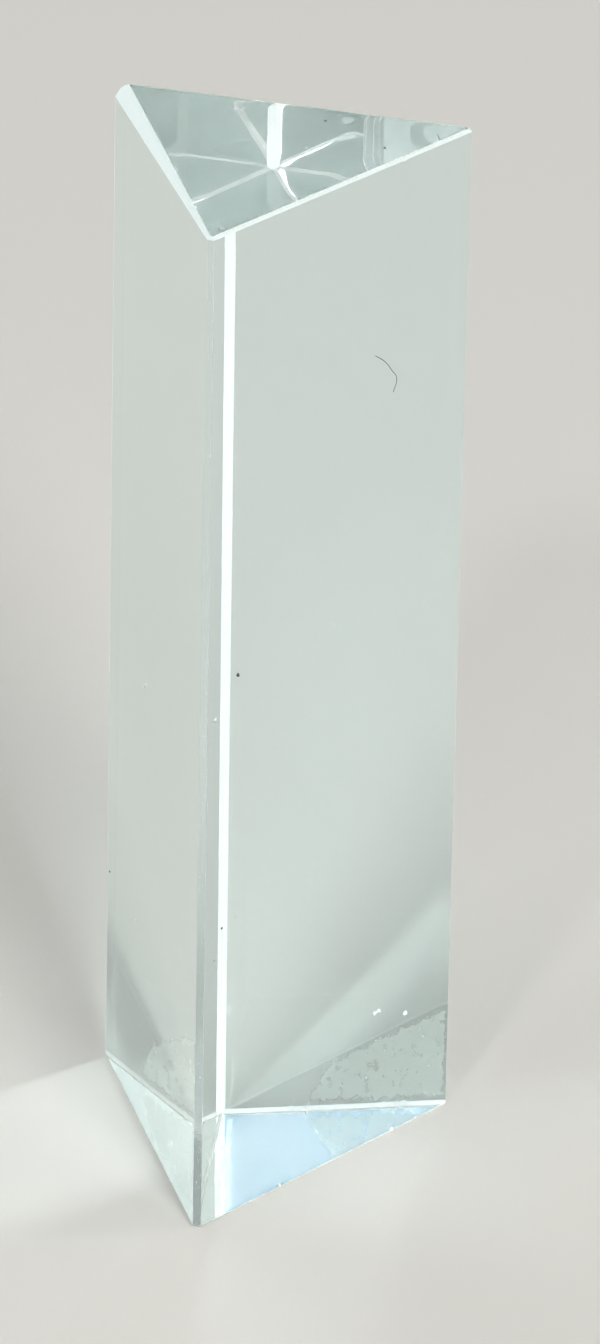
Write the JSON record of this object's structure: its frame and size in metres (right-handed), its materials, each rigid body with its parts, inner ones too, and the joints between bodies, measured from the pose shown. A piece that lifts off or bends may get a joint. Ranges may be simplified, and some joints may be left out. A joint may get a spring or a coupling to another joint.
{
  "type": "equilateral prism",
  "caption": "Clear solid glass prism of equilateral triangle section, with polished faces and ends and ground edges, that bends light and spreads it into its colours.",
  "frame": {"origin": "middle of the base end's triangle, on the base end, where the three side faces are equally far away", "axes": "+Z along the prism's length to its top end; the front long edge points to -Y, and the side face opposite it faces +Y"},
  "size_m": [0.0246, 0.0212, 0.075],
  "materials": {
    "optical_glass": "clear crown glass with a faint green body colour, polished faces and ends, fine-ground edge bevels"
  },
  "bodies": {
    "root": {"glass_prism": "optical_glass"}
  },
  "joints": []
}
